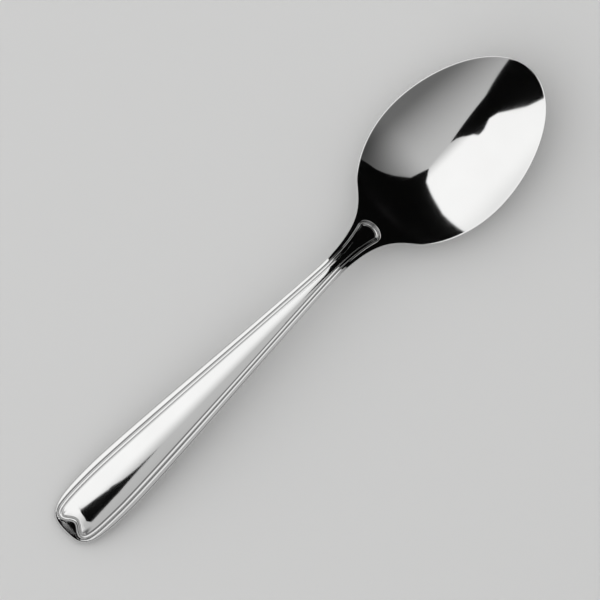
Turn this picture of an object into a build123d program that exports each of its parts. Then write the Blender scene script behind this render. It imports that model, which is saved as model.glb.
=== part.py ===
"""Soup spoon: one pressed blank of stainless steel, with a coined thread border on the handle.

Millimetres. +X runs from the handle's end to the bowl's tip, Y across, +Z up, with the origin on the
table below the middle of the spoon. The spoon lies as it would on a table, on its bowl and its handle's end.
"""
import os
from math import hypot
from build123d import *

# Overall size
length = 200.0             # handle's end to bowl's tip

# Half outline of the blank, measured from the handle's end: place, half width and reach of its curves
end_rise = 7.15            # squareness of the handle's end
wide_x = 19.5              # widest place of the handle
wide_w = 9.45
wide_back = 18.0
wide_fore = 15.9
neck_x = 113.4             # narrowest place of the neck
neck_w = 3.26
neck_back = 9.75
neck_fore = 15.9
flank_x = 137.7            # where the neck's hollow flare turns into the bowl's round side
flank_w = 12.96
flank_slope = 1.23
flank_back = 7.05
flank_fore = 6.2
bowl_x = 163.1             # widest place of the bowl
bowl_w = 22.85
bowl_back = 12.2
bowl_fore = 16.7
tip_rise = 13.6            # roundness of the bowl's tip

# Side view: the line of the blank's upper edge
crest_x = 95.0             # highest place of the arched handle
crest_z = 14.5
rim_tilt = 0.12            # the bowl's rim rises towards the tip
bend_from = 111.0          # the neck's bend, between the arch and the rim
bend_to = 149.0
end_fall = 0.7             # the face falls away at the handle's end
end_reach = 5.2

# Cross-sections
bowl_depth = 9.0           # below the rim, at the widest place
bowl_fullness = 0.15       # share of a section that follows the fourth power, for steep sides
crown_wide = 38.0          # radius of the handle's crowned face at its widest place
crown_neck = 15.0          # and at the neck
dish_from = 112.0          # where the crowned neck begins to turn into the hollow bowl
dish_to = 146.0
end_gauge = 1.6            # edge thickness at the handle's end
neck_gauge = 2.7
bowl_gauge = 1.4
thin_from = 118.0          # where the neck's thickness begins to thin to the bowl's
thin_to = 150.0
rim_land = 0.30            # narrow land that is ground round the upper edge
edge_break = 0.35          # the lower edge is broken

# Thread border: two grooves with a bead between them, the bead's middle line measured as the outline is
notch_x = 4.6              # foot of the notch at the handle's end
notch_rise = 1.5
corner_x = 2.6             # corners of the border, each side of the notch
corner_w = 4.1
corner_rise = 2.0
thread_wide_x = 17.6
thread_wide_w = 6.9
thread_wide_back = 13.5
thread_wide_fore = 15.0
thread_neck_x = 115.0
thread_neck_w = 1.5
thread_neck_back = 9.0
thread_neck_fore = 8.0
fan_x = 129.8              # flare of the border's end on the bowl's back wall
fan_w = 3.2
fan_slope = 0.27
fan_back = 3.0
fan_fore = 1.6
drop_x = 132.15            # foremost point of the border
drop_rise = 1.6
pitch_wide = 1.27          # distance between the two grooves
pitch_neck = 0.94
groove_half = 0.40         # half width and depth of a groove, over the pitch
groove_depth = 0.24
inner_share = 0.62         # depth of the inner groove, over the outer groove's
groove_lip = 0.4           # how far the groove's section stands above the face, over its depth
pitch_to = 95.0            # where the pitch has narrowed to the neck's
curve_points = 14          # points on each curve of the bead's line

# Press tools
die_margin = 3.0           # reach past the bowl's sides
die_floor = -60.0
die_from = -4.0            # first and last section of a tool's face
die_to = length + 8
spacing_end = 2.0          # between the sections, at the handle's end
spacing_handle = 8.0       # on the arched handle
spacing_neck = 4.0         # at the neck and in the bowl's back
spacing_tip = 8.0          # towards the tip
blank_height = 50.0
near = 0.05                # an edge this close to the upper face lies on it
upright = 0.9              # an edge that rises more than this stands across the rim


def smooth(x, start, stop):
    """Rises from 0 to 1 without a kink."""
    t = min(max((x - start) / (stop - start), 0.0), 1.0)
    return t ** 3 * (t * (6 * t - 15) + 10)


def mix(a, b, t):
    return a + (b - a) * t


def on_curve(points, t):
    """Point of a cubic curve."""
    weights = ((1 - t) ** 3, 3 * t * (1 - t) ** 2, 3 * t * t * (1 - t), t ** 3)
    return tuple(sum(w * p[k] for w, p in zip(weights, points)) for k in (0, 1))


def half_outline():
    """The five curves of the blank's half outline, from the handle's end to the tip."""
    flank = 1 / hypot(1, flank_slope)
    before = (flank_x - flank_back * flank, flank_w - flank_back * flank * flank_slope)
    after = (flank_x + flank_fore * flank, flank_w + flank_fore * flank * flank_slope)
    return [
        [(0, 0), (0, end_rise), (wide_x - wide_back, wide_w), (wide_x, wide_w)],
        [(wide_x, wide_w), (wide_x + wide_fore, wide_w), (neck_x - neck_back, neck_w), (neck_x, neck_w)],
        [(neck_x, neck_w), (neck_x + neck_fore, neck_w), before, (flank_x, flank_w)],
        [(flank_x, flank_w), after, (bowl_x - bowl_back, bowl_w), (bowl_x, bowl_w)],
        [(bowl_x, bowl_w), (bowl_x + bowl_fore, bowl_w), (length, tip_rise), (length, 0)],
    ]


def half_thread():
    """The five curves of half the bead's middle line, from the notch to the drop."""
    fan = 1 / hypot(1, fan_slope)
    before = (fan_x - fan_back * fan, fan_w - fan_back * fan * fan_slope)
    after = (fan_x + fan_fore * fan, fan_w + fan_fore * fan * fan_slope)
    corner = (corner_x, corner_w)
    wide = (thread_wide_x, thread_wide_w)
    neck = (thread_neck_x, thread_neck_w)
    return [
        [(notch_x, 0), (notch_x, notch_rise), (corner_x, corner_w - notch_rise), corner],
        [corner, (corner_x, corner_w + corner_rise), (wide[0] - thread_wide_back, wide[1]), wide],
        [wide, (wide[0] + thread_wide_fore, wide[1]), (neck[0] - thread_neck_back, neck[1]), neck],
        [neck, (neck[0] + thread_neck_fore, neck[1]), before, (fan_x, fan_w)],
        [(fan_x, fan_w), after, (drop_x, drop_rise), (drop_x, 0)],
    ]


def width_squared(x):
    """Half width of the section squared; past the tip it runs on below zero."""
    tip_radius = 1.5 * tip_rise ** 2 / (length - bowl_x - bowl_fore)
    if x >= length:
        return 2 * tip_radius * (length - x)
    x = max(x, wide_x)
    curve = next(c for c in half_outline() if x <= c[3][0])
    low, high = 0.0, 1.0
    for _ in range(50):
        t = (low + high) / 2
        if on_curve(curve, t)[0] < x:
            low = t
        else:
            high = t
    return on_curve(curve, low)[1] ** 2


def section(y_squared):
    """Shape of every section, over the square of the distance from the middle; 1 at the bowl's rim."""
    share = y_squared / bowl_w ** 2
    return mix(share, share * share, bowl_fullness)


def gauge(x):
    """Thickness at the edge, straight down."""
    handle = mix(end_gauge, neck_gauge, x / neck_x)
    return mix(handle, bowl_gauge, smooth(x, thin_from, thin_to))


def hollow_above(x):
    """How far a section as wide as the bowl would be hollow: less than 0 where the handle is crowned."""
    radius = mix(crown_wide, crown_neck, min(max((x - wide_x) / (neck_x - wide_x), 0.0), 1.0))
    crown = bowl_w ** 2 / (2 * radius * (1 - bowl_fullness))
    return mix(-crown, bowl_depth, smooth(x, dish_from, dish_to))


def hollow_below(x):
    return bowl_depth * smooth(x, bend_from, dish_to)


def rim_shape(x):
    return rim_tilt * (x - bowl_x)


# The bowl stands on its own lowest point, which is between its back wall and its widest place
rim_z = max(
    bowl_depth * section(width_squared(x)) + gauge(x) - rim_shape(x)
    for x in range(int(dish_to), int(bowl_x))
)


def edge_line(x):
    """Height of the blank's upper edge in side view: an arch, a bend at the neck, and the rim."""
    arch = crest_z - (crest_z - end_gauge) * ((x - crest_x) / crest_x) ** 2
    return mix(arch, rim_z + rim_shape(x), smooth(x, bend_from, bend_to))


def face_line(x):
    """The upper edge once more, with the fall at the handle's end."""
    return edge_line(x) - end_fall * max(1 - x / end_reach, 0.0) ** 2


def top(x, y):
    return face_line(x) - hollow_above(x) * (section(width_squared(x)) - section(y * y))


def stations():
    """Places of the lofted sections, closer together where the face bends most."""
    x = die_from
    while x < die_to:
        yield x
        spacing = mix(spacing_end, spacing_handle, smooth(x, 0, 40))
        spacing = mix(spacing, spacing_neck, smooth(x, 80, 108))
        x += mix(spacing, spacing_tip, smooth(x, 150, 185))


def die(height, hollow):
    """Block below a pressed face, lofted through its sections."""
    side = bowl_w + die_margin
    sections = []
    for x in stations():
        middle = height(x) - hollow(x) * section(width_squared(x))
        square = hollow(x) * (1 - bowl_fullness) * (side / bowl_w) ** 2
        fourth = hollow(x) * bowl_fullness * (side / bowl_w) ** 4
        left = (x, -side, middle + square + fourth)
        right = (x, side, middle + square + fourth)
        shoulders = middle - fourth
        low = (x, 0, middle - square / 3 + fourth)
        face = Bezier(left, (x, -side / 2, shoulders), low, (x, side / 2, shoulders), right)
        walls = Polyline(right, (x, side, die_floor), (x, -side, die_floor), left)
        sections.append(Wire([face, *walls.edges()]))
    return Solid.make_loft(sections)


def blank():
    """Plan outline, both halves, as a tall block."""
    upper = [Bezier(*curve) for curve in half_outline()]
    lower = [Bezier(*[(x, -y) for x, y in curve]) for curve in half_outline()]
    outline = make_face(Wire(upper + lower))
    return extrude(outline, blank_height)


def thread_points():
    """Points on the bead's whole line, each with the direction out of the border."""
    found = []
    for curve in half_thread():
        for i in range(curve_points):
            a = on_curve(curve, i / curve_points)
            b = on_curve(curve, (i + 0.01) / curve_points)
            run = hypot(b[0] - a[0], b[1] - a[1])
            out = ((a[1] - b[1]) / run, (b[0] - a[0]) / run)
            found.append((a, out))
    found.append(((drop_x, 0), (1, 0)))
    mirrored = [((p[0], -p[1]), (n[0], -n[1])) for p, n in found[-2:0:-1]]
    return found + mirrored


def groove(side):
    """Ring of V section that cuts one groove, outside the bead for side +1, inside for -1."""
    depth = groove_depth if side > 0 else groove_depth * inner_share
    outer, foot, inner = [], [], []
    for (x, y), (nx, ny) in thread_points():
        pitch = mix(pitch_wide, pitch_neck, smooth(x, thread_wide_x, pitch_to))
        middle = side * pitch / 2
        reach = pitch * groove_half * (1 + groove_lip)
        for ring, shift, rise in (
            (outer, middle + reach, groove_lip * depth * pitch),
            (foot, middle, -depth * pitch),
            (inner, middle - reach, groove_lip * depth * pitch),
        ):
            px = x + nx * shift
            py = y + ny * shift
            ring.append((px, py, top(px, py) + rise))
    rings = [Edge.make_spline(ring, periodic=True) for ring in (outer, foot, inner)]
    walls = [Face.make_surface_from_curves(rings[i], rings[(i + 1) % 3]) for i in range(3)]
    return Solid(Shell(walls))


def outline_edges(solid, upper):
    """Edges that follow the outline of the pressed blank, on its upper or its lower face."""
    found = []
    for edge in solid.edges():
        middle = edge @ 0.5
        on_top = abs(middle.Z - top(middle.X, middle.Y)) < near
        if abs((edge % 0.5).Z) < upright and on_top == upper:
            found.append(edge)
    return found


def soup_spoon():
    upper_die = die(face_line, hollow_above)
    lower_die = die(lambda x: edge_line(x) - gauge(x), hollow_below)
    pressed = ((blank() & upper_die) - lower_die).solids()[0]
    broken = pressed.chamfer(edge_break, None, outline_edges(pressed, False))
    ground = broken.chamfer(rim_land, None, outline_edges(broken, True))
    return ground.cut(groove(1), groove(-1))


spoon = soup_spoon().solids()[0]
os.makedirs("parts", exist_ok=True)
export_step(spoon.moved(Location((-length / 2, 0, 0))), "parts/soup_spoon.step")
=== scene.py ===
"""Soup spoon of polished steel with a coined thread border, lying on a pale floor.

The spoon is one piece. A flat blank is laid out as a plan of fine strips that follow its outline and its
border, and a press made of geometry nodes gives every point of the plan its height. Metres, in the spoon's
own frame: +X from the handle's end to the bowl's tip, +Z up, the origin on the table below the middle.
"""
import math
from collections import namedtuple

import bmesh
import bpy
import numpy as np
from bpy.props import FloatProperty, FloatVectorProperty, IntProperty, PointerProperty
from bpy.types import Operator, Panel, PropertyGroup
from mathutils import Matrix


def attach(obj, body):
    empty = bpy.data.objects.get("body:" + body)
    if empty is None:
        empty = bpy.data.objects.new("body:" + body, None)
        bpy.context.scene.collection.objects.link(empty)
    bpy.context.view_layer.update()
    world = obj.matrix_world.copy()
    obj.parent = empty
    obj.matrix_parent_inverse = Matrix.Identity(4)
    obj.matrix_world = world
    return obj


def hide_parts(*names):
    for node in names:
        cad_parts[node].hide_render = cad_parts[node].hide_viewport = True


bl_info = {
    "name": "Soup spoon",
    "version": (1, 0, 0),
    "blender": (4, 5, 0),
    "location": "View3D > Sidebar > Soup spoon",
    "description": "Presses a steel soup spoon with a thread border and lays it on a pale floor",
    "category": "Add Mesh",
}

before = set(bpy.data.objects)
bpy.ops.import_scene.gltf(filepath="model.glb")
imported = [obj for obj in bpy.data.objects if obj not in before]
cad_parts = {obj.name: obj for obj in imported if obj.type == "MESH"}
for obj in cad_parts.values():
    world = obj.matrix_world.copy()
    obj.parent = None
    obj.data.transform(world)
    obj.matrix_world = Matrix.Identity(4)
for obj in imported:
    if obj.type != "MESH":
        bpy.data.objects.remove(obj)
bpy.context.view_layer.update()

MM = 0.001
SPOON = "soup_spoon"
# What the press is told of a point of the blank, as it is where nothing special happens: its layer, 0 on the
# face and 1 on the back, its place across the thread, in pitches from the crest, the level of the rim's land,
# and its shares of the lip and of the sunk end band
OFF_THREAD = 9.0
NO_LAND = -1.0
PRESS_FACTS = {"layer": 0.0, "thread": OFF_THREAD, "land": NO_LAND, "lip": 0.0, "sunk": 0.0}
# What the steel is told of it: its share of the spot that is left unpolished
FINISH_FACTS = {"satin": 0.0}
PLAIN_FACTS = {**PRESS_FACTS, **FINISH_FACTS}
# Places on the border, in curves from its notch, and those beside them on the outline, in curves from the
# handle's end: past the notch's corner, at the widest place, at the neck and on the fan
OUTLINE_WIDE = 1.0
BORDER_MARKS = (1.3, 2.0, 3.0, 4.35)
OUTLINE_MARKS = (0.5, OUTLINE_WIDE, 2.0, 2.72)
# Steps that close in on a half width of the blank
HALVINGS = 48
# Across the thread, in pitches from the crest: its outermost strip, its grooves, the lip's start, and how far
# off the inner groove's depth begins to turn into the outer groove's
THREAD_REACH = 0.95
GROOVE_PLACE = 0.5
LIP_START = 0.1
BEAD_BLEND = 0.1
# Softness of the rim's land where it meets the hollow
LAND_BLEND = 0.006
# Share of the unpolished spot, from its edge, over which it fades out
SATIN_FADE = 0.5
# Places at which the bowl's lowest point is looked for, over the spoon's length
BOTTOM_FROM = 0.70
BOTTOM_TO = 0.88
BOTTOM_PLACES = 181
# Layout of the trees of nodes
NODES_A_COLUMN = 12
NODE_GAP = 190


def size(name, description, millimetres):
    """A length, told in millimetres and kept in metres."""
    return FloatProperty(
        name=name, description=description, default=millimetres * MM, unit="LENGTH", precision=5
    )


def share(name, description, value):
    return FloatProperty(name=name, description=description, default=value, precision=4)


def count(name, description, value):
    return IntProperty(name=name, description=description, default=value, min=2)


def tone(name, description, value):
    return FloatVectorProperty(
        name=name, description=description, default=value, subtype="COLOR", min=0, max=1
    )


class SpoonOutline(PropertyGroup):
    """Half outline of the blank, from the handle's end"""
    length: size("Length", "Handle's end to bowl's tip", 200)
    end_rise: size("End squareness", "Reach of the curve at the handle's end", 7.15)
    wide_x: size("Wide place", "Where the handle is widest", 19.5)
    wide_w: size("Handle half width", "Half the handle's greatest width", 9.45)
    wide_back: size("Wide reach back", "Reach of the curve behind the widest place", 18.0)
    wide_fore: size("Wide reach forward", "Reach of the curve before the widest place", 15.9)
    neck_x: size("Neck place", "Where the neck is narrowest", 113.4)
    neck_w: size("Neck half width", "Half the neck's least width", 3.26)
    neck_back: size("Neck reach back", "Reach of the curve behind the neck", 9.75)
    neck_fore: size("Neck reach forward", "Reach of the curve before the neck", 15.9)
    flank_x: size("Flank place", "Where the neck's flare turns into the bowl's side", 137.7)
    flank_w: size("Flank half width", "Half the width there", 12.96)
    flank_slope: share("Flank slope", "How fast the outline widens there", 1.23)
    flank_back: size("Flank reach back", "Reach of the curve behind the flank", 7.05)
    flank_fore: size("Flank reach forward", "Reach of the curve before the flank", 6.2)
    bowl_x: size("Bowl place", "Where the bowl is widest", 163.1)
    bowl_w: size("Bowl half width", "Half the bowl's greatest width", 22.85)
    bowl_back: size("Bowl reach back", "Reach of the curve behind the widest place", 12.2)
    bowl_fore: size("Bowl reach forward", "Reach of the curve before the widest place", 16.7)
    tip_rise: size("Tip roundness", "Reach of the curve at the bowl's tip", 13.6)


class SpoonForm(PropertyGroup):
    """Heights, thicknesses and edges of the pressed spoon"""
    crest_x: size("Crest place", "Highest place of the arched handle", 95)
    crest_z: size("Crest height", "Height of the arched handle's edge", 14.5)
    rim_tilt: share("Rim tilt", "Rise of the bowl's rim towards the tip", 0.12)
    bend_from: size("Bend from", "Where the neck leaves the arch", 111)
    bend_to: size("Bend to", "Where the neck meets the rim's line", 149)
    bowl_depth: size("Bowl depth", "Below the rim, at the widest place", 9.0)
    fullness: share("Bowl fullness", "Share of a section that follows the fourth power", 0.15)
    crown_wide: size("Crown radius", "Radius of the crowned face at the handle's widest place", 38)
    crown_neck: size("Neck crown radius", "Radius of the crowned face at the neck", 15)
    dish_from: size("Dish from", "Where the crowned neck begins to hollow", 112)
    dish_to: size("Dish to", "Where the hollow has the bowl's section", 146)
    end_gauge: size("End thickness", "Edge thickness at the handle's end", 1.6)
    end_fall: size("End fall", "How far the face falls at the handle's end", 0.45)
    end_reach: size("End fall from", "Where the face begins to fall", 5.2)
    neck_gauge: size("Neck thickness", "Edge thickness at the neck", 2.7)
    bowl_gauge: size("Bowl thickness", "Thickness of the bowl, straight down", 1.4)
    thin_from: size("Thin from", "Where the neck begins to thin", 118)
    thin_to: size("Thin to", "Where it has the bowl's thickness", 150)
    end_edge_to: size("End edge to", "Where the end's rounding begins to turn into the handle's", 1.5)
    handle_edge_from: size("Handle edge from", "Where the edge has the handle's rounding", 12)
    handle_edge_to: size("Handle edge to", "Where the handle's rounding begins to turn into the neck's", 60)
    neck_edge_from: size("Neck edge from", "Where the edge has the neck's rounding", 110)
    round_end: size("End edge", "Rounding of the edge at the handle's end", 0.55)
    round_wide: size("Handle edge", "Rounding of the handle's edge", 0.60)
    round_neck: size("Neck edge", "Rounding of the neck's edge", 0.25)
    round_bowl: size("Rim edge", "Rounding of the bowl's rim", 0.16)
    rim_land: size("Rim land", "Width of the flat that is ground on the bowl's rim", 0.42)


class ThreadBorder(PropertyGroup):
    """The bead between two grooves that runs round the handle's panel"""
    notch_x: size("Notch place", "Foot of the notch at the handle's end", 4.6)
    notch_rise: size("Notch roundness", "Reach of the notch's curve", 1.5)
    corner_x: size("Corner place", "Corners each side of the notch", 2.6)
    corner_w: size("Corner half width", "Half the distance between the corners", 4.1)
    corner_rise: size("Corner roundness", "Reach of the curve past a corner", 2.0)
    wide_x: size("Wide place", "Where the border is widest", 17.6)
    wide_w: size("Border half width", "Half the border's greatest width", 6.9)
    wide_back: size("Wide reach back", "Reach of the curve behind the widest place", 13.5)
    wide_fore: size("Wide reach forward", "Reach of the curve before the widest place", 15)
    neck_x: size("Neck place", "Where the border is narrowest", 115)
    neck_w: size("Neck half width", "Half the border's least width", 1.5)
    neck_back: size("Neck reach back", "Reach of the curve behind the neck", 9)
    neck_fore: size("Neck reach forward", "Reach of the curve before the neck", 8)
    fan_x: size("Fan place", "Flare of the border's end on the bowl's back wall", 129.8)
    fan_w: size("Fan half width", "Half the width of the flare", 3.2)
    fan_slope: share("Fan slope", "How fast the flare widens", 0.27)
    fan_back: size("Fan reach back", "Reach of the curve behind the flare", 3.0)
    fan_fore: size("Fan reach forward", "Reach of the curve before the flare", 1.6)
    drop_x: size("Drop place", "Foremost point of the border", 132.15)
    drop_rise: size("Drop roundness", "Reach of the curve at the foremost point", 1.6)
    pitch_wide: size("Groove pitch", "Distance between the two grooves on the handle", 1.27)
    pitch_neck: size("Neck groove pitch", "Distance between the two grooves from the neck on", 0.94)
    pitch_to: size("Pitch to", "Where the grooves have drawn together", 95)
    groove_half: share("Groove half width", "Over the pitch", 0.40)
    groove_depth: share("Groove depth", "Of the outer groove, over the pitch", 0.24)
    drop_depth: share("Drop depth", "Added share of the grooves' depth at the drop", 0.8)
    inner_share: share("Inner groove", "Depth of the inner groove, over the outer groove's", 0.62)
    lip_rise: size("Lip height", "Raised lip of the panel at the notch", 0.35)
    lip_from: size("Lip from", "Where the lip has its full height", 5.4)
    lip_to: size("Lip to", "Where the lip has gone along the panel", 7.9)
    lip_climb: share("Lip climb", "How much more the lip rises towards the end, past its full height", 1.2)
    lip_bow: size("Lip bow", "Half width at which the lip is twice as high, to keep its crest level", 6.5)
    lip_half: size("Lip half width", "Where the lip begins to fade across the panel", 3.6)
    lip_end: size("Lip end", "Where the lip has gone across the panel", 5.2)
    sunk_end: size("Sunk end", "Half width of the sunk band at the handle's end", 7.5)
    satin_x: size("Satin place", "Middle of the unpolished spot in the sunk band", 1.6)
    satin_length: size("Satin half length", "Half length of the unpolished spot", 0.95)
    satin_width: size("Satin half width", "Half width of the unpolished spot", 3.2)


class BlankStrips(PropertyGroup):
    """How finely the blank is divided"""
    panel_half: count("Panel columns", "From the middle of the panel to its border", 20)
    side: count("Side rows", "Along the border, between its corners", 200)
    thread: count("Thread columns", "Across the bead and its grooves", 22)
    band: count("Band columns", "Between the border and the edge", 6)
    bowl: count("Bowl rows", "From the border's end to the tip", 110)
    land: count("Land columns", "Beside the rounding of the edge, and across the rim's land", 6)
    edge: count("Edge columns", "Round the edge", 10)
    back: count("Back columns", "Across the back", 24)
    side_ease: share("Side ease", "How much closer the side rows lie towards the border's ends", 0.6)
    bowl_ease: share("Bowl ease", "Share of the bowl's rows over which they straighten", 0.35)
    edge_margin: size("Edge margin", "Width of the land columns on the handle", 0.15)
    rim_margin: size("Rim margin", "Width of the land columns on the bowl's rim", 0.60)


class SteelFinish(PropertyGroup):
    """Colour and polish of the steel"""
    colour: tone("Steel", "Polished steel", (0.70, 0.70, 0.695))
    # Painted shade: a darker steel colour, mixed in at the foot of the grooves
    groove_shade_colour: tone("Groove", "Duller steel at the foot of the grooves", (0.36, 0.36, 0.36))
    groove_shade_share: share("Groove tint", "Share of the groove's colour at the foot of a groove", 0.8)
    cloud_shade: share("Cloud shade", "Share of the steel's colour where it is cloudy", 0.96)
    polish: share("Polish", "Roughness of the polished faces", 0.04)
    smudge: share("Smudge", "Added roughness where the polish is dull", 0.03)
    satin: share("Satin", "Added roughness in the middle of the sunk end band", 0.19)
    line_wear: share("Line wear", "Added roughness in the polishing lines", 0.02)
    line_strength: share("Line strength", "How strongly the polishing lines show", 0.08)
    hairline: size("Hairlines", "Depth of the polishing lines", 0.004)


class StudioStage(PropertyGroup):
    """Floor, light and camera"""
    floor_colour: tone("Floor", "Pale floor", (0.66, 0.66, 0.656))
    floor_reach: size("Floor reach", "From the spoon to the floor's sides", 12000)
    floor_gap: size("Floor gap", "How far the floor lies below the spoon", 0.2)
    key_light: share("White panel", "Brightness of the panel on the +Y side", 1.32)
    fill_light: share("Grey panel", "Brightness of the panel on the -Y side, at its top", 0.70)
    fill_foot: share("Grey panel's foot", "Its brightness near the floor", 0.19)
    room_light: share("Room", "Light that the pale room around gives", 1.0)
    backdrop: share("Backdrop", "Brightness of the room as it is seen in the steel", 0.60)
    panel_height: size("Panel height", "Height of the panels' top edges", 3000)
    panel_lean: share("Panel lean", "How fast the panels come down to the sides", 0.39)
    cloth_height: size("Cloth height", "Height of the cloth above the panels", 3600)
    cloth_colour: tone("Cloth", "Dark cloth", (0.004, 0.004, 0.004))
    lens: FloatProperty(name="Lens", description="Focal length in millimetres", default=600.0)
    view_width: size("View width", "Width of the view at the spoon", 182.5)
    view_turn: FloatProperty(
        name="Turn", description="Turn of the spoon in the view", subtype="ANGLE", default=math.radians(44.66)
    )
    view_end: size("View end", "How far the camera sees", 50000)
    aim_x: size("Aim place", "Middle of the view, from the spoon's middle towards the bowl", 0.7)
    aim_z: size("Aim height", "Height at which the view has its width", 8)


def mix(a, b, t):
    return a + (b - a) * t


def smooth(x, start, stop):
    """Rises from 0 to 1 without a kink."""
    t = np.clip((np.asarray(x) - start) / (stop - start), 0, 1)
    return t ** 3 * (t * (6 * t - 15) + 10)


class Line:
    """Cubic curves end to end, walked by their length. A place on the line counts curves from its start."""
    STEPS_A_CURVE = 400

    def __init__(self, curves):
        self.curves = np.array(curves, float)
        self.places = np.linspace(0, len(curves), len(curves) * self.STEPS_A_CURVE + 1)
        steps = np.diff(self.at(self.places), axis=0)
        self.lengths = np.concatenate([[0], np.cumsum(np.hypot(steps[:, 0], steps[:, 1]))])

    def parts(self, places):
        """How far along its curve each place is, and that curve's control points."""
        places = np.asarray(places, float)
        which = np.clip(places.astype(int), 0, len(self.curves) - 1)
        return (places - which)[:, None], self.curves[which]

    def at(self, places):
        t, c = self.parts(places)
        s = 1 - t
        return s ** 3 * c[:, 0] + 3 * t * s * s * c[:, 1] + 3 * t * t * s * c[:, 2] + t ** 3 * c[:, 3]

    def outward(self, places):
        """Unit directions out of the line, to its left."""
        t, c = self.parts(places)
        s = 1 - t
        run = s * s * (c[:, 1] - c[:, 0]) + 2 * t * s * (c[:, 2] - c[:, 1]) + t * t * (c[:, 3] - c[:, 2])
        run /= np.hypot(run[:, 0], run[:, 1])[:, None]
        return np.stack([-run[:, 1], run[:, 0]], axis=1)

    def length_to(self, place):
        return np.interp(place, self.places, self.lengths)

    def walk(self, lengths):
        """Points from end to end and the directions out of the line, which run along X at both ends."""
        places = np.interp(lengths, self.lengths, self.places)
        out = self.outward(places)
        out[0], out[-1] = (-1, 0), (1, 0)
        return self.at(places), out


def station(sizes, name):
    """A named place that a line passes through, between the control points before and after it."""
    x, w = getattr(sizes, name + "_x"), getattr(sizes, name + "_w")
    slope = getattr(sizes, name + "_slope", 0.0)
    run = 1 / math.hypot(1, slope)
    back, fore = getattr(sizes, name + "_back") * run, getattr(sizes, name + "_fore") * run
    return (x - back, w - back * slope), (x, w), (x + fore, w + fore * slope)


def line_through(start, stations, stop):
    """The line from a start through stations to a stop; start and stop have one control point each."""
    points = [*start, *(point for place in stations for point in place), *stop]
    return Line([points[i:i + 4] for i in range(0, len(points) - 1, 3)])


def half_outline(plan):
    """One side of the blank's outline, from the handle's end to the bowl's tip."""
    stations = [station(plan, name) for name in ("wide", "neck", "flank", "bowl")]
    return line_through(
        [(0, 0), (0, plan.end_rise)], stations, [(plan.length, plan.tip_rise), (plan.length, 0)]
    )


def half_thread(border):
    """One side of the bead's crest, from the foot of the notch to the drop."""
    x, w = border.corner_x, border.corner_w
    corner = ((x, w - border.notch_rise), (x, w), (x, w + border.corner_rise))
    stations = [corner, *(station(border, name) for name in ("wide", "neck", "fan"))]
    notch, drop = border.notch_x, border.drop_x
    return line_through(
        [(notch, 0), (notch, border.notch_rise)], stations, [(drop, border.drop_rise), (drop, 0)]
    )


def half_widths(outline, plan, xs):
    """Half width of the blank at each place; behind the handle's widest place it stays at the widest."""
    xs = np.clip(xs, plan.wide_x, plan.length)
    low = np.full(len(xs), OUTLINE_WIDE)
    high = np.full(len(xs), float(len(outline.curves)))
    for _ in range(HALVINGS):
        middle = (low + high) / 2
        short = outline.at(middle)[:, 0] < xs
        low = np.where(short, middle, low)
        high = np.where(short, high, middle)
    return outline.at(low)[:, 1]


def section(squares, plan, form):
    """Shape of every section, over the square of the distance from the middle; 1 at the bowl's rim."""
    part = squares / plan.bowl_w ** 2
    return mix(part, part * part, form.fullness)


class Blank:
    """Flat plan of the spoon, with what the press and the steel need to know at each point."""

    def __init__(self):
        self.points = []
        self.facts = {name: [] for name in PLAIN_FACTS}
        self.faces = []

    def add(self, points, **told):
        """Adds points and returns their numbers."""
        points = np.asarray(points, float).reshape(-1, 2)
        first = len(self.points)
        self.points.extend(points)
        for name, plain in PLAIN_FACTS.items():
            self.facts[name].extend(np.broadcast_to(told.get(name, plain), len(points)))
        return np.arange(first, first + len(points))

    def add_between(self, first, points, last, **told):
        """Adds points between two that are there, and returns the numbers of the whole row."""
        return np.concatenate([[first], self.add(points, **told), [last]])

    def where(self, numbers):
        return np.array([self.points[i] for i in numbers])

    def weave(self, rows):
        """Faces between each row of points and the next."""
        for near, far in zip(rows[:-1], rows[1:]):
            for i in range(len(near) - 1):
                corners = (near[i], near[i + 1], far[i + 1], far[i])
                face = list(dict.fromkeys(int(c) for c in corners))
                if len(face) > 2:
                    self.faces.append(face)

    def weave_rings(self, rings):
        """Faces between each closed ring of points and the next."""
        self.weave([np.append(ring, ring[0]) for ring in rings])


def mirrored(values):
    """Values of a half line, followed by those of its mirrored half."""
    return np.concatenate([values, values[-2:0:-1]])


def both_sides(half):
    """A half line of points from the middle to the middle, with its mirrored half after it."""
    return np.concatenate([half, half[-2:0:-1] * (1, -1)])


def spaced(steps, ease):
    """From 0 to 1 in steps that are shorter towards both ends."""
    t = np.linspace(0, 1, steps + 1)
    return t - ease * np.sin(2 * np.pi * t) / (2 * np.pi)


def inner_steps(steps):
    """Even steps from 0 to 1 without the two ends, as a column."""
    return np.linspace(0, 1, steps + 1)[1:-1, None]


def groove_pitch(xs, border):
    return mix(border.pitch_wide, border.pitch_neck, smooth(xs, border.wide_x, border.pitch_to))


def lip_at(points, border):
    """Share of the lip's height at points of the panel."""
    along = np.clip((border.lip_to - points[:, 0]) / (border.lip_to - border.lip_from), 0, None)
    along = np.where(along < 1, along ** 2, 1 + border.lip_climb * (along - 1))
    level = 1 + (points[:, 1] / border.lip_bow) ** 2
    return along * level * (1 - smooth(np.abs(points[:, 1]), border.lip_half, border.lip_end))


def sunk_at(points, border):
    """1 at the notch, where the end band lies as low as the outer groove, 0 along the sides."""
    across = smooth(np.abs(points[:, 1]), border.lip_half, border.sunk_end)
    return (1 - across) * (points[:, 0] < border.wide_x)


def satin_at(points, border):
    """1 in the middle of the sunk end band, which the polishing wheel doesn't reach."""
    along = (points[:, 0] - border.satin_x) / border.satin_length
    across = points[:, 1] / border.satin_width
    return np.clip((1 - along ** 2 - across ** 2) / SATIN_FADE, 0, 1)


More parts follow.
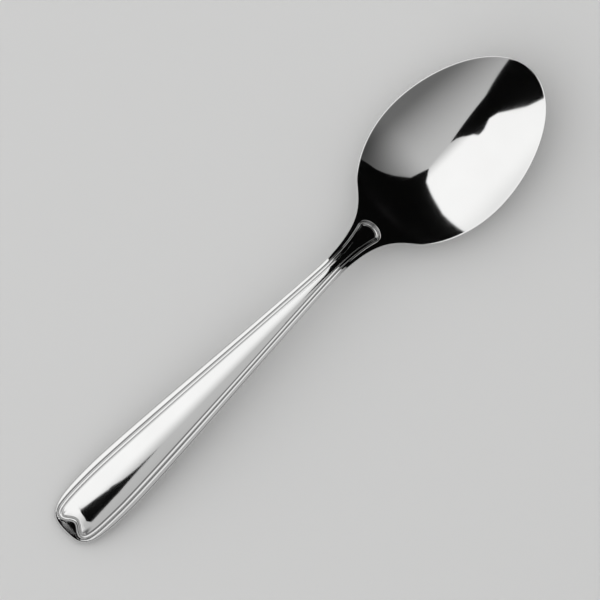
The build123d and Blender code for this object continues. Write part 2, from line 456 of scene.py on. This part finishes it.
def lay_thread(blank, line, border, counts):
    """Strips along the border, from outside its outer groove to inside its inner groove."""
    shoulder, fan = line.length_to(BORDER_MARKS[0]), line.length_to(BORDER_MARKS[-1])
    lengths = np.concatenate([
        np.linspace(0, shoulder, counts.panel_half + 1),
        mix(shoulder, fan, spaced(counts.side, counts.side_ease))[1:],
        np.linspace(fan, line.lengths[-1], counts.panel_half + 1)[1:],
    ])
    bead, out = line.walk(lengths)
    pitch = groove_pitch(bead[:, 0], border)[:, None]
    strips = []
    for across in np.linspace(THREAD_REACH, -THREAD_REACH, counts.thread + 1):
        points = bead + out * pitch * across
        lip = lip_at(points, border) * smooth(-across, LIP_START, THREAD_REACH)
        sunk = sunk_at(points, border) * (across > GROOVE_PLACE)
        strips.append(blank.add(both_sides(points), thread=across, lip=mirrored(lip), sunk=mirrored(sunk)))
    return strips, lengths


def lay_panel(blank, inner, border, counts):
    """The panel inside the border, stretched between its two ends and its two sides."""
    half, sides = counts.panel_half, counts.side
    last = half + sides
    notch = inner[[*range(half, 0, -1), *range(0, -half - 1, -1)]]
    drop = inner[last:last + 2 * half + 1]
    left = inner[half:last + 1]
    right = inner[[-i for i in range(half, last + 1)]]
    notch_at, drop_at, left_at, right_at = (blank.where(line) for line in (notch, drop, left, right))
    u = inner_steps(2 * half)
    rows = [notch]
    for i in range(1, sides):
        v = i / sides
        along = mix(notch_at[1:-1], drop_at[1:-1], v)
        across = mix(left_at[i], right_at[i], u)
        corners = mix(mix(notch_at[0], notch_at[-1], u), mix(drop_at[0], drop_at[-1], u), v)
        points = along + across - corners
        rows.append(blank.add_between(left[i], points, right[i], lip=lip_at(points, border)))
    blank.weave(rows + [drop])


def edge_lengths(outline, thread, lengths, counts):
    """Lengths along the outline beside each row of the border, and on to the bowl's tip."""
    rows = counts.panel_half + counts.side
    marks = [0, *thread.length_to(BORDER_MARKS)]
    beside = [0, *outline.length_to(OUTLINE_MARKS)]
    handle = np.interp(lengths[:rows + 1], marks, beside)
    tip = outline.lengths[-1]
    t = np.linspace(0, 1, counts.bowl + 1)[1:]
    first = (handle[-1] - handle[-2]) * counts.bowl / (tip - handle[-1])
    bowl = mix(handle[-1], tip, t * (first + (1 - first) * t * (2 - t)))
    return np.concatenate([handle, bowl])


def lay_edge(blank, outline, lengths, plan, form, border, counts):
    """Columns from the face over the rounded edge to the back, all round the outline."""
    line, out = outline.walk(lengths)
    x = line[:, 0]
    bowl = smooth(x, form.thin_from, form.dish_to)
    rounding = mix(form.round_end, form.round_wide, smooth(x, form.end_edge_to, form.handle_edge_from))
    rounding = mix(rounding, form.round_neck, smooth(x, form.handle_edge_to, form.neck_edge_from))
    rounding = mix(rounding, form.round_bowl, bowl)
    margin = mix(counts.edge_margin, counts.rim_margin, bowl)
    ground = line - out * (form.rim_land * bowl)[:, None]
    wide = half_widths(outline, plan, ground[:, 0])
    land = mirrored((section(wide ** 2, plan, form) - section(ground[:, 1] ** 2, plan, form)) * bowl)
    columns = []
    for i in range(counts.land + 1):
        inset = rounding + margin * (1 - i / counts.land)
        points = both_sides(line - out * inset[:, None])
        facts = {"sunk": sunk_at(points, border), "satin": satin_at(points, border)}
        columns.append(blank.add(points, land=land, **facts))
    for turn in np.linspace(0, math.pi, counts.edge + 1)[1:]:
        inset = rounding * (1 - math.sin(turn))
        layer = (1 - math.cos(turn)) / 2
        points = both_sides(line - out * inset[:, None])
        columns.append(blank.add(points, layer=layer, land=land, sunk=sunk_at(points, border)))
    blank.weave_rings(columns)
    return columns[0], columns[-1]


def lay_band(blank, outer, edge, border, counts):
    """The band between the border and the edge, round the handle's end; returns its rows."""
    rows = counts.panel_half + counts.side
    t = inner_steps(counts.band)
    band = []
    for i in range(-rows, rows + 1):
        near, far = blank.where([outer[i], edge[i]])
        points = mix(near, far, t)
        facts = {"sunk": sunk_at(points, border), "satin": satin_at(points, border)}
        band.append(blank.add_between(outer[i], points, edge[i], **facts))
    blank.weave(band)
    return band


def lay_bowl(blank, outer, edge, band, counts):
    """The bowl's hollow, from the border's end to the tip."""
    rows = counts.panel_half + counts.side
    drop = outer[rows:rows + 2 * counts.panel_half + 1]
    start = np.concatenate([band[-1][:0:-1], drop, band[0][1:]])
    first = blank.where(start)
    steady = np.linspace(1, -1, len(start))
    woven = [start]
    for i in range(1, counts.bowl):
        left, right = edge[rows + i], edge[-(rows + i)]
        x, w = blank.where([left])[0]
        ease = float(smooth(i / counts.bowl, 0, counts.bowl_ease))
        ys = mix(first[:, 1] / first[0, 1], steady, ease) * w
        xs = x + (first[:, 0] - first[0, 0]) * (1 - ease)
        woven.append(blank.add_between(left, np.stack([xs, ys], axis=1)[1:-1], right))
    tip = np.full(len(start), edge[rows + counts.bowl])
    blank.weave(woven + [tip])


def lay_back(blank, under, counts):
    """The plain back, in rows from side to side."""
    half = len(under) // 2
    t = inner_steps(counts.back)
    rows = [np.full(counts.back + 1, under[0])]
    for i in range(1, half):
        left, right = blank.where([under[i], under[-i]])
        rows.append(blank.add_between(under[i], mix(left, right, t), under[-i], layer=1.0))
    blank.weave(rows + [np.full(counts.back + 1, under[half])])


def lay_blank(plan, form, border, counts):
    """The whole flat blank as a mesh, with its facts as attributes."""
    outline, thread = half_outline(plan), half_thread(border)
    blank = Blank()
    strips, lengths = lay_thread(blank, thread, border, counts)
    lay_panel(blank, strips[-1], border, counts)
    blank.weave_rings(strips)
    lengths = edge_lengths(outline, thread, lengths, counts)
    edge, under = lay_edge(blank, outline, lengths, plan, form, border, counts)
    band = lay_band(blank, strips[0], edge, border, counts)
    lay_bowl(blank, strips[0], edge, band, counts)
    lay_back(blank, under, counts)
    points = np.array(blank.points)
    flat = np.column_stack([points[:, 0] - plan.length / 2, points[:, 1], np.zeros(len(points))])
    mesh = bpy.data.meshes.new(SPOON)
    mesh.from_pydata(flat.tolist(), [], blank.faces)
    facts = dict(blank.facts, half_width=half_widths(outline, plan, points[:, 0]))
    for name, values in facts.items():
        attribute = mesh.attributes.new(name, "FLOAT", "POINT")
        attribute.data.foreach_set("value", np.asarray(values, np.float32))
    return mesh


class Reading:
    """A number in a tree of nodes. Sums and products of readings add the nodes that work them out."""

    def __init__(self, tree, socket):
        self.tree = tree
        self.socket = socket

    def work(self, operation, *others):
        node = add_node(self.tree, "ShaderNodeMath")
        node.operation = operation
        for slot, value in zip(node.inputs, (self, *others)):
            feed(self.tree, slot, value)
        return Reading(self.tree, node.outputs[0])

    def __add__(self, other):
        return self.work("ADD", other)

    def __sub__(self, other):
        return self.work("SUBTRACT", other)

    def __rsub__(self, other):
        return self.weighed(-1.0, other)

    def __mul__(self, other):
        return self.work("MULTIPLY", other)

    def __truediv__(self, other):
        return self.work("DIVIDE", other)

    def weighed(self, by, plus):
        return self.work("MULTIPLY_ADD", by, plus)

    def squared(self):
        return self * self

    def at_least(self, other):
        return self.work("MAXIMUM", other)

    def at_most(self, other):
        return self.work("MINIMUM", other)

    def towards(self, other, t):
        return t.weighed(other - self, self)

    def ramp(self, start, stop, first=0.0, last=1.0, bend="LINEAR"):
        """Runs from first to last while this number goes from start to stop."""
        node = add_node(self.tree, "ShaderNodeMapRange")
        node.interpolation_type = bend
        for slot, value in zip(node.inputs, (self, start, stop, first, last)):
            feed(self.tree, slot, value)
        return Reading(self.tree, node.outputs["Result"])

    def smooth(self, start, stop):
        return self.ramp(start, stop, bend="SMOOTHERSTEP")


def add_node(tree, kind):
    """A new node, set in the next place of a grid."""
    node = tree.nodes.new(kind)
    column, row = divmod(len(tree.nodes), NODES_A_COLUMN)
    node.location = (NODE_GAP * column, -NODE_GAP * row)
    return node


def feed(tree, slot, value):
    """Gives a socket a reading or a plain value."""
    if isinstance(value, Reading):
        tree.links.new(value.socket, slot)
    else:
        slot.default_value = value


# The press's inputs, by the group of properties and the property that each takes its size from
PRESS_SIZES = {
    "outline": {
        "Length": "length", "Neck place": "neck_x", "Handle wide place": "wide_x",
        "Bowl place": "bowl_x", "Bowl half width": "bowl_w",
    },
    "form": {
        "Crest place": "crest_x", "Crest height": "crest_z", "Rim tilt": "rim_tilt",
        "Bend from": "bend_from", "Bend to": "bend_to",
        "Bowl depth": "bowl_depth", "Bowl fullness": "fullness",
        "Crown radius": "crown_wide", "Neck crown radius": "crown_neck",
        "Dish from": "dish_from", "Dish to": "dish_to",
        "End fall": "end_fall", "End fall from": "end_reach",
        "End thickness": "end_gauge", "Neck thickness": "neck_gauge", "Bowl thickness": "bowl_gauge",
        "Thin from": "thin_from", "Thin to": "thin_to",
    },
    "border": {
        "Border wide place": "wide_x", "Fan place": "fan_x", "Drop place": "drop_x",
        "Groove pitch": "pitch_wide", "Neck groove pitch": "pitch_neck", "Pitch to": "pitch_to",
        "Groove half width": "groove_half", "Groove depth": "groove_depth",
        "Drop depth": "drop_depth", "Inner groove": "inner_share", "Lip height": "lip_rise",
    },
}


def press_heights(tree, sizes, x, y):
    """Height that the press gives to a point of the blank, and the point's share of a groove."""
    told = {}
    for name in (*PRESS_FACTS, "half_width"):
        node = add_node(tree, "GeometryNodeInputNamedAttribute")
        node.data_type = "FLOAT"
        node.inputs["Name"].default_value = name
        told[name] = Reading(tree, node.outputs["Attribute"])
    fullness = sizes["Bowl fullness"]
    bowl_square = sizes["Bowl half width"].squared()

    def shape(square):
        part = square / bowl_square
        return part.towards(part.squared(), fullness)

    inside = shape(told["half_width"].squared()) - shape(y.squared())
    ground = inside.work("SMOOTH_MAX", told["land"], LAND_BLEND)

    rim = sizes["Rim height"] + (x - sizes["Bowl place"]) * sizes["Rim tilt"]
    fall = ((x - sizes["Crest place"]) / sizes["Crest place"]).squared()
    arch = sizes["Crest height"] - (sizes["Crest height"] - sizes["End thickness"]) * fall
    edge = arch.towards(rim, x.smooth(sizes["Bend from"], sizes["Bend to"]))

    handle_gauge = sizes["End thickness"].towards(sizes["Neck thickness"], x / sizes["Neck place"])
    gauge = handle_gauge.towards(sizes["Bowl thickness"], x.smooth(sizes["Thin from"], sizes["Thin to"]))
    along = (x - sizes["Handle wide place"]) / (sizes["Neck place"] - sizes["Handle wide place"])
    radius = sizes["Crown radius"].towards(sizes["Neck crown radius"], along.at_least(0.0).at_most(1.0))
    crown = bowl_square / (radius * (1.0 - fullness) * -2.0)
    above = crown.towards(sizes["Bowl depth"], x.smooth(sizes["Dish from"], sizes["Dish to"]))
    below = sizes["Bowl depth"] * x.smooth(sizes["Bend from"], sizes["Dish to"])
    ending = sizes["End fall"] * (1.0 - x / sizes["End fall from"]).at_least(0.0).squared()

    drawn = x.smooth(sizes["Border wide place"], sizes["Pitch to"])
    pitch = sizes["Groove pitch"].towards(sizes["Neck groove pitch"], drawn)
    off = (told["thread"].work("ABSOLUTE") - GROOVE_PLACE) / sizes["Groove half width"]
    outer = told["thread"].smooth(-BEAD_BLEND, BEAD_BLEND)
    groove = (1.0 - off.squared()).at_least(0.0).squared() * sizes["Inner groove"].towards(1.0, outer)
    sunk = groove.towards(1.0, told["sunk"])
    deeper = sizes["Drop depth"] * x.smooth(sizes["Fan place"], sizes["Drop place"]) + 1.0
    coined = told["lip"] * sizes["Lip height"] - sunk * pitch * sizes["Groove depth"] * deeper

    face = edge - above * ground - ending + coined
    back = edge - gauge - below * inside
    return face.towards(back, told["layer"]), groove


def press_tree():
    """The press: a tree of geometry nodes that gives each point of the blank its height."""
    tree = bpy.data.node_groups.new("spoon_press", "GeometryNodeTree")
    tree.interface.new_socket("Blank", in_out="INPUT", socket_type="NodeSocketGeometry")
    for name in [name for inputs in PRESS_SIZES.values() for name in inputs] + ["Rim height"]:
        tree.interface.new_socket(name, in_out="INPUT", socket_type="NodeSocketFloat")
    tree.interface.new_socket("Steel", in_out="INPUT", socket_type="NodeSocketMaterial")
    tree.interface.new_socket("Spoon", in_out="OUTPUT", socket_type="NodeSocketGeometry")
    given = add_node(tree, "NodeGroupInput")
    sizes = {socket.name: Reading(tree, socket) for socket in given.outputs if socket.type == "VALUE"}

    place = add_node(tree, "GeometryNodeInputPosition")
    split = add_node(tree, "ShaderNodeSeparateXYZ")
    tree.links.new(place.outputs["Position"], split.inputs[0])
    flat_x, flat_y = Reading(tree, split.outputs["X"]), Reading(tree, split.outputs["Y"])
    height, groove = press_heights(tree, sizes, flat_x + sizes["Length"] * 0.5, flat_y)
    spot = add_node(tree, "ShaderNodeCombineXYZ")
    for axis, value in zip("XYZ", (flat_x, flat_y, height)):
        feed(tree, spot.inputs[axis], value)

    # The groove share is kept for the steel, which paints shade with it at the foot of the grooves
    marked = add_node(tree, "GeometryNodeStoreNamedAttribute")
    marked.data_type = "FLOAT"
    marked.domain = "POINT"
    marked.inputs["Name"].default_value = "groove"
    feed(tree, marked.inputs["Value"], groove)
    pressed = add_node(tree, "GeometryNodeSetPosition")
    tree.links.new(spot.outputs["Vector"], pressed.inputs["Position"])
    realized = add_node(tree, "GeometryNodeRealizeInstances")
    steel = add_node(tree, "GeometryNodeSetMaterial")
    tree.links.new(given.outputs["Steel"], steel.inputs["Material"])
    shape = given.outputs["Blank"]
    for step in (marked, pressed, realized, steel):
        tree.links.new(shape, step.inputs["Geometry"])
        shape = step.outputs["Geometry"]
    done = add_node(tree, "NodeGroupOutput")
    tree.links.new(shape, done.inputs["Spoon"])
    return tree


def rim_height(plan, form):
    """Height of the rim at the bowl's widest place, with the bowl standing on its own lowest point."""
    x = np.linspace(BOTTOM_FROM, BOTTOM_TO, BOTTOM_PLACES) * plan.length
    depth = form.bowl_depth * section(half_widths(half_outline(plan), plan, x) ** 2, plan, form)
    handle = mix(form.end_gauge, form.neck_gauge, x / plan.neck_x)
    gauge = mix(handle, form.bowl_gauge, smooth(x, form.thin_from, form.thin_to))
    rise = form.rim_tilt * (x - plan.bowl_x)
    return float(np.max(depth + gauge - rise))


def paint(name, kind):
    """A new material, its tree of nodes, and its shader, joined to its output."""
    material = bpy.data.materials.new(name)
    material.use_nodes = True
    tree = material.node_tree
    tree.nodes.clear()
    out = add_node(tree, "ShaderNodeOutputMaterial")
    shader = add_node(tree, kind)
    tree.links.new(shader.outputs[0], out.inputs["Surface"])
    return material, tree, shader


def steel_noise(tree, spots, scale, detail, rough, along):
    """Noise over the steel; a small value of along draws it out into lines along the spoon."""
    mapping = add_node(tree, "ShaderNodeMapping")
    mapping.inputs["Scale"].default_value = (along, 1, 1)
    tree.links.new(spots, mapping.inputs["Vector"])
    noise = add_node(tree, "ShaderNodeTexNoise")
    noise.inputs["Scale"].default_value = scale
    noise.inputs["Detail"].default_value = detail
    noise.inputs["Roughness"].default_value = rough
    tree.links.new(mapping.outputs["Vector"], noise.inputs["Vector"])
    return Reading(tree, noise.outputs["Fac"])


def steel_fact(tree, name):
    """What the pressed mesh tells the steel of a point."""
    node = add_node(tree, "ShaderNodeAttribute")
    node.attribute_name = name
    return Reading(tree, node.outputs["Fac"])


def steel_material(finish):
    """Polished steel with faint polishing lines and cloudy dulling.

    The feet of the grooves carry painted shade, and one spot in the sunk end band is left unpolished.
    """
    material, tree, shader = paint("polished_steel", "ShaderNodeBsdfPrincipled")
    shader.inputs["Metallic"].default_value = 1.0
    spots = add_node(tree, "ShaderNodeTexCoord").outputs["Object"]
    cloud = steel_noise(tree, spots, scale=55.0, detail=4.0, rough=0.55, along=1.0)
    lines = steel_noise(tree, spots, scale=900.0, detail=3.0, rough=0.6, along=0.03)
    fine = steel_noise(tree, spots, scale=2600.0, detail=2.0, rough=0.5, along=0.02)

    # Painted shade: the steel colour turns towards the darker groove colour at the foot of the grooves
    tint = add_node(tree, "ShaderNodeMix")
    tint.data_type = "RGBA"
    tint.inputs["A"].default_value = (*finish.colour, 1)
    tint.inputs["B"].default_value = (*finish.groove_shade_colour, 1)
    painted_groove_shade = steel_fact(tree, "groove").ramp(start=0.0, stop=1.0, last=finish.groove_shade_share)
    feed(tree, tint.inputs["Factor"], painted_groove_shade)
    shaded = add_node(tree, "ShaderNodeVectorMath")
    shaded.operation = "SCALE"
    tree.links.new(tint.outputs["Result"], shaded.inputs["Vector"])
    feed(tree, shaded.inputs["Scale"], cloud.ramp(start=0.3, stop=0.7, first=finish.cloud_shade))
    tree.links.new(shaded.outputs["Vector"], shader.inputs["Base Color"])

    smudged = cloud.ramp(start=0.35, stop=0.75, first=finish.polish, last=finish.polish + finish.smudge)
    worn = lines.weighed(by=finish.line_wear, plus=smudged)
    feed(tree, shader.inputs["Roughness"], steel_fact(tree, "satin").weighed(by=finish.satin, plus=worn))

    bump = add_node(tree, "ShaderNodeBump")
    bump.inputs["Strength"].default_value = finish.line_strength
    bump.inputs["Distance"].default_value = finish.hairline
    feed(tree, bump.inputs["Height"], fine.weighed(by=0.5, plus=lines))
    tree.links.new(bump.outputs["Normal"], shader.inputs["Normal"])
    return material


class SOUPSPOON_OT_press(Operator):
    """Lay out the blank and press it into the spoon"""
    bl_idname = "soup_spoon.press"
    bl_label = "Press the spoon"

    def execute(self, context):
        scene = context.scene
        plan, form, border = scene.spoon_outline, scene.spoon_form, scene.spoon_border
        spoon = bpy.data.objects.new("pressed_spoon", lay_blank(plan, form, border, scene.spoon_strips))
        scene.collection.objects.link(spoon)
        tree = press_tree()
        press = spoon.modifiers.new("press", "NODES")
        press.node_group = tree
        named = {item.name: item.identifier for item in tree.interface.items_tree if item.in_out == "INPUT"}
        groups = {"outline": plan, "form": form, "border": border}
        for group, inputs in PRESS_SIZES.items():
            for name, value in inputs.items():
                press[named[name]] = getattr(groups[group], value)
        press[named["Rim height"]] = rim_height(plan, form)
        press[named["Steel"]] = steel_material(scene.spoon_finish)
        depsgraph = context.evaluated_depsgraph_get()
        pressed = bpy.data.meshes.new_from_object(
            spoon.evaluated_get(depsgraph), preserve_all_data_layers=True, depsgraph=depsgraph
        )
        spoon.modifiers.remove(press)
        blank = spoon.data
        spoon.data = pressed
        bpy.data.meshes.remove(blank)
        bpy.data.node_groups.remove(tree)
        self.close(pressed)
        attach(spoon, "root")
        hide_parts(SPOON)
        return {"FINISHED"}

    def close(self, mesh):
        """Turns the faces outwards, shades them smooth, and makes sure that the skin is closed.

        What only the press had to know is dropped.
        """
        skin = bmesh.new()
        skin.from_mesh(mesh)
        bmesh.ops.recalc_face_normals(skin, faces=skin.faces)
        if any(not edge.is_manifold for edge in skin.edges):
            raise RuntimeError("the spoon's skin isn't closed")
        for face in skin.faces:
            face.smooth = True
        skin.to_mesh(mesh)
        skin.free()
        for name in (*PRESS_FACTS, "half_width"):
            mesh.attributes.remove(mesh.attributes[name])


def stage_sheet(name, corners, material):
    """A flat sheet of the stage."""
    mesh = bpy.data.meshes.new(name)
    mesh.from_pydata(corners, [], [tuple(range(len(corners)))])
    mesh.materials.append(material)
    sheet = bpy.data.objects.new(name, mesh)
    bpy.context.scene.collection.objects.link(sheet)
    return sheet


def glow_material(name, *ramps):
    """Light panel whose brightness is the product of ramps along its axes."""
    material, tree, glow = paint(name, "ShaderNodeEmission")
    spots = add_node(tree, "ShaderNodeTexCoord")
    split = add_node(tree, "ShaderNodeSeparateXYZ")
    tree.links.new(spots.outputs["Object"], split.inputs[0])
    strength = 1.0
    for axis, start, stop, first, last in ramps:
        place = Reading(tree, split.outputs[axis])
        strength = place.ramp(start, stop, first, last, bend="SMOOTHSTEP") * strength
    feed(tree, glow.inputs["Strength"], strength)
    return material


def plain_material(name, colour, roughness, shine):
    """One even colour, for the floor and the cloth."""
    material, _, shader = paint(name, "ShaderNodeBsdfPrincipled")
    shader.inputs["Base Color"].default_value = (*colour, 1)
    shader.inputs["Roughness"].default_value = roughness
    shader.inputs["Specular IOR Level"].default_value = shine
    return material


# How a panel's brightness runs along one of its axes
Ramp = namedtuple("Ramp", "axis start stop first last")
# The panels' corners, told by where they are seen from the spoon: sideways over upwards, along the spoon and
# across it. The panels meet above it, between these two ends, and part from there on.
MEET_FORE = (0.06, -0.05)
MEET_BACK = (-0.35, -0.108)
WHITE_CORNERS = (
    MEET_FORE, (0.2, 0.085), (0.272, 0.32), (0.395, 0.9), (0.66, 3.0), (2.1, 15),
    (-2.3, 15), (-2.2, 4.5), (-1.8, 2.5), (-1.3, 0.75), (-1.13, 0.52), (-1.01, 0.31),
    (-0.9, 0.13), (-0.81, 0.08), (-0.7, 0.165), (-0.63, 0.165), (-0.59, 0.075), (-0.55, 0.038),
    (-0.51, -0.01), (-0.475, -0.055), (-0.43, -0.09), MEET_BACK,
)
GREY_CORNERS = (
    MEET_FORE, (0.3, -0.17), (0.44, -0.43), (0.7, -1.0), (1.1, -2.2), (2.4, -4.5), (8, -15), (-12, -15),
    (-4, -1.9), (-1.25, -0.6), (-0.94, -0.32), (-0.55, -0.18), MEET_BACK,
)
# Half outline of the dark cloth above the panels, over the panels' height
CLOTH_CORNERS = ((-1.8, 1.1), (0, 5.2), (1.6, 5.2), (1.6, 2.4), (1.9, 1.6), (2.4, 1.1), (3.4, 0.5))


class SOUPSPOON_OT_stage(Operator):
    """Lay the pale floor, hang the light panels and set the camera above the spoon"""
    bl_idname = "soup_spoon.stage"
    bl_label = "Lay the stage"

    def execute(self, context):
        stage = context.scene.spoon_stage
        self.lay_floor(stage)
        self.hang_panels(stage)
        self.hang_cloth(stage)
        self.light_room(context.scene, stage)
        self.set_camera(context.scene, stage)
        context.scene.view_settings.view_transform = "Standard"
        return {"FINISHED"}

    def lay_floor(self, stage):
        reach, low = stage.floor_reach, -stage.floor_gap
        corners = [(-reach, -reach, low), (reach, -reach, low), (reach, reach, low), (-reach, reach, low)]
        finish = plain_material("pale_floor", stage.floor_colour, roughness=0.7, shine=0.2)
        stage_sheet("floor", corners, finish)

    def hang_panels(self, stage):
        """A white panel on one side and a grey one on the other, which the camera doesn't see."""
        top = stage.panel_height
        white_glow = glow_material(
            "white_glow",
            Ramp("Y", start=-0.13 * top, stop=0.10 * top, first=stage.fill_light, last=stage.key_light),
            Ramp("Z", start=0.30 * top, stop=0.65 * top, first=0.85, last=1.0),
        )
        grey_glow = glow_material(
            "grey_glow",
            Ramp("Z", start=0.45 * top, stop=top, first=stage.fill_foot, last=stage.fill_light),
            Ramp("X", start=0.0, stop=0.5 * top, first=1.0, last=0.35),
        )
        panels = (("white_panel", WHITE_CORNERS, white_glow), ("grey_panel", GREY_CORNERS, grey_glow))
        for name, seen, glow in panels:
            stage_sheet(name, self.leaning(seen, stage), glow).visible_camera = False

    def leaning(self, seen, stage):
        """Corners on a sheet that leans from the ridge above the spoon down to the floor."""
        heights = [stage.panel_height / (1 + stage.panel_lean * abs(y)) for _, y in seen]
        return [(x * z, y * z, z) for (x, y), z in zip(seen, heights)]

    def hang_cloth(self, stage):
        """A dark cloth above the panels, which only the steel mirrors."""
        reach, height = stage.panel_height, stage.cloth_height
        left = [(x * reach, y * reach, height) for x, y in CLOTH_CORNERS]
        right = [(x, -y, z) for x, y, z in reversed(left)]
        finish = plain_material("dark_cloth", stage.cloth_colour, roughness=1.0, shine=0.0)
        cloth = stage_sheet("over_cloth", left + right, finish)
        cloth.visible_camera = False
        cloth.visible_diffuse = False
        cloth.visible_shadow = False

    def light_room(self, scene, stage):
        """A pale room all round, brighter as a lamp than as the backdrop that the steel mirrors."""
        room = bpy.data.worlds.new("pale_room")
        room.use_nodes = True
        tree = room.node_tree
        back = tree.nodes["Background"]
        back.inputs["Color"].default_value = (1, 1, 1, 1)
        rays = add_node(tree, "ShaderNodeLightPath")
        shown = Reading(tree, rays.outputs["Is Camera Ray"])
        for kind in ("Is Glossy Ray", "Is Transmission Ray"):
            shown = shown.at_least(Reading(tree, rays.outputs[kind]))
        feed(tree, back.inputs["Strength"], shown.ramp(0.0, 1.0, first=stage.room_light, last=stage.backdrop))
        scene.world = room

    def set_camera(self, scene, stage):
        """Straight above the spoon, which is turned to run up to the right."""
        camera = bpy.data.cameras.new("camera")
        camera.lens = stage.lens
        camera.clip_end = stage.view_end
        eye = bpy.data.objects.new("camera", camera)
        scene.collection.objects.link(eye)
        away = stage.view_width * stage.lens / camera.sensor_width
        eye.location = (stage.aim_x, 0.0, stage.aim_z + away)
        eye.rotation_euler = (0, 0, -stage.view_turn)
        scene.camera = eye


class SOUPSPOON_PT_panel(Panel):
    """Sizes and finish of the soup spoon"""
    bl_idname = "SOUPSPOON_PT_panel"
    bl_label = "Soup spoon"
    bl_space_type = "VIEW_3D"
    bl_region_type = "UI"
    bl_category = "Soup spoon"

    def draw(self, context):
        for name in GROUPS:
            group = getattr(context.scene, name)
            box = self.layout.box()
            box.label(text=group.bl_rna.description)
            for key in group.bl_rna.properties.keys():
                if key not in ("rna_type", "name"):
                    box.prop(group, key)
        self.layout.operator(SOUPSPOON_OT_press.bl_idname)
        self.layout.operator(SOUPSPOON_OT_stage.bl_idname)


GROUPS = {
    "spoon_outline": SpoonOutline, "spoon_form": SpoonForm, "spoon_border": ThreadBorder,
    "spoon_strips": BlankStrips, "spoon_finish": SteelFinish, "spoon_stage": StudioStage,
}
CLASSES = (*GROUPS.values(), SOUPSPOON_OT_press, SOUPSPOON_OT_stage, SOUPSPOON_PT_panel)


def register():
    for cls in CLASSES:
        bpy.utils.register_class(cls)
    for name, group in GROUPS.items():
        setattr(bpy.types.Scene, name, PointerProperty(type=group))


def unregister():
    for name in GROUPS:
        delattr(bpy.types.Scene, name)
    for cls in reversed(CLASSES):
        bpy.utils.unregister_class(cls)


def main():
    register()
    bpy.ops.soup_spoon.press()
    bpy.ops.soup_spoon.stage()


if __name__ == "__main__":
    main()
